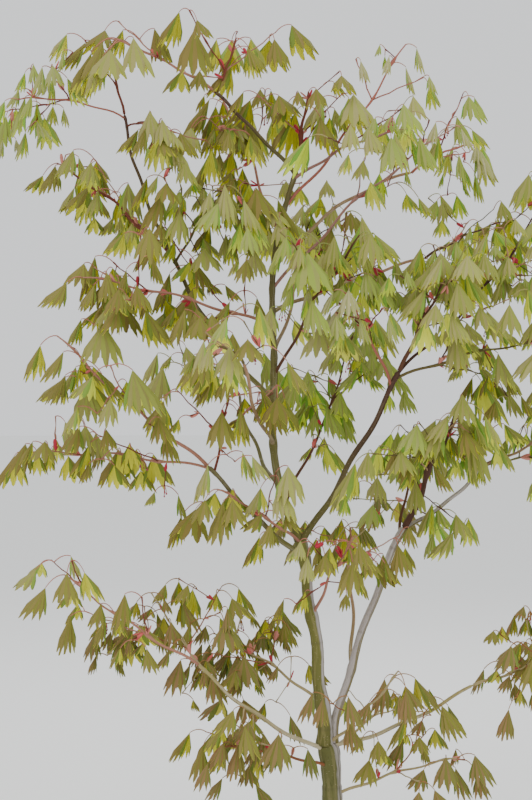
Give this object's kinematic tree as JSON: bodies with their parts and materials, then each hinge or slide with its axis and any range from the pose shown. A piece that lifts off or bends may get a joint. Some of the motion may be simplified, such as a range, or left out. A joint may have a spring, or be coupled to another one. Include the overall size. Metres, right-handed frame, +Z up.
{
  "type": "young japanese maple tree",
  "caption": "Young garden maple in spring leaf, rooted in the ground: a short forked trunk, thin rising boughs and masses of drooping pleated leaves.",
  "frame": {"origin": "middle of the trunk's flat cut at ground level", "axes": "+Z up along the tree, +X to the right and +Y away in the picture's view"},
  "size_m": [1.1752, 0.9031, 1.7011],
  "materials": {
    "bark": "smooth young bark, olive to brown with pale stripes and cracks, matt",
    "grey_bark": "smooth grey bark with fine lengthwise lines, matt",
    "leaves": "thin young leaves, olive-khaki with a soft sheen"
  },
  "bodies": {
    "root": {"trunk": "bark", "left_stem": "bark", "right_stem": "grey_bark", "leader": "bark", "right_bough": "bark", "left_mid_bough": "bark", "left_top_bough": "bark", "left_top_end": "bark", "upper_left_bough": "bark", "pale_right_bough": "bark", "long_right_bough": "bark", "far_right_bough": "bark", "low_right_bough": "bark", "low_left_bough": "bark", "back_low_bough": "bark", "back_mid_bough": "bark", "back_high_bough": "bark", "front_mid_bough": "bark", "foliage_top_left_end": "leaves", "foliage_top": "leaves", "foliage_left_top": "leaves", "foliage_left_far": "leaves", "foliage_left_side": "leaves", "foliage_left_upper": "leaves", "foliage_left_inner": "leaves", "foliage_grey_shoot": "leaves", "foliage_centre_top": "leaves", "foliage_pink_shoot": "leaves", "foliage_tall_shoot": "leaves", "foliage_pale_right": "leaves", "foliage_dark_right": "leaves", "foliage_long_right": "leaves", "foliage_steep_right": "leaves", "foliage_right_node": "leaves", "foliage_red_shoot": "leaves", "foliage_up_left_shoot": "leaves", "foliage_behind": "leaves", "foliage_far_right": "leaves", "foliage_far_low": "leaves", "foliage_right_mid": "leaves", "foliage_upright": "leaves", "foliage_left_mid_up": "leaves", "foliage_left_mid_far": "leaves", "foliage_left_level": "leaves", "foliage_left_mid_low": "leaves", "foliage_left_outer": "leaves", "foliage_front": "leaves", "foliage_front_right": "leaves", "foliage_low_right": "leaves", "foliage_low_right_front": "leaves", "foliage_low_left_end": "leaves", "foliage_low_left": "leaves", "foliage_low_olive": "leaves", "foliage_low_back": "leaves", "foliage_foot_left": "leaves", "foliage_foot_right": "leaves", "foliage_stem_front": "leaves", "foliage_back_low": "leaves", "foliage_back_mid": "leaves", "foliage_back_high": "leaves"}
  },
  "joints": []
}
